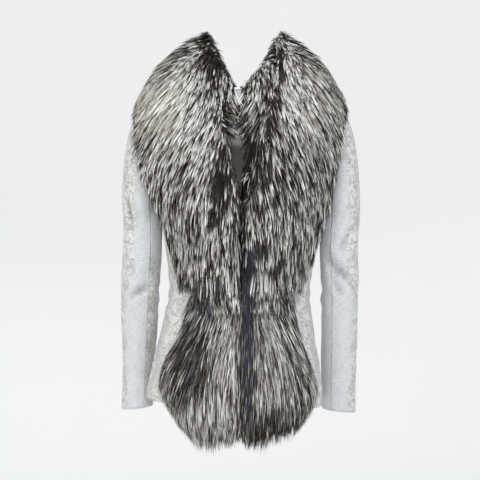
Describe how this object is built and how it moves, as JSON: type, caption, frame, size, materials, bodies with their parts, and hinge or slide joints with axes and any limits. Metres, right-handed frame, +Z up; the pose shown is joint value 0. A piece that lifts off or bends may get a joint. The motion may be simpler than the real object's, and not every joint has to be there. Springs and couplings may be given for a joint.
{
  "type": "fur-trimmed jacket",
  "caption": "Fitted hollow jacket with slim sleeves, a nipped waist, a flared hem, a deep fur shawl collar and fur edging down the fronts past the hem.",
  "frame": {"origin": "midway between the wearer's shoulders, level with the sides of the neck opening of the cloth", "axes": "+Z up along the garment, -Y out of its front, +X to the right of someone who looks at the front"},
  "size_m": [0.482, 0.3176, 0.81],
  "materials": {
    "white_jacquard": "matt woven jacquard with a low-contrast leaf motif",
    "silver_fox_fur": "long silver and black-brown hair"
  },
  "bodies": {
    "root": {"back": "white_jacquard", "front_left": "white_jacquard", "front_right": "white_jacquard", "sleeve_top_left": "white_jacquard", "sleeve_top_right": "white_jacquard", "sleeve_under_left": "white_jacquard", "sleeve_under_right": "white_jacquard", "fur_collar_left": "silver_fox_fur", "fur_collar_right": "silver_fox_fur", "fur_front_left": "silver_fox_fur", "fur_front_right": "silver_fox_fur"}
  },
  "joints": []
}
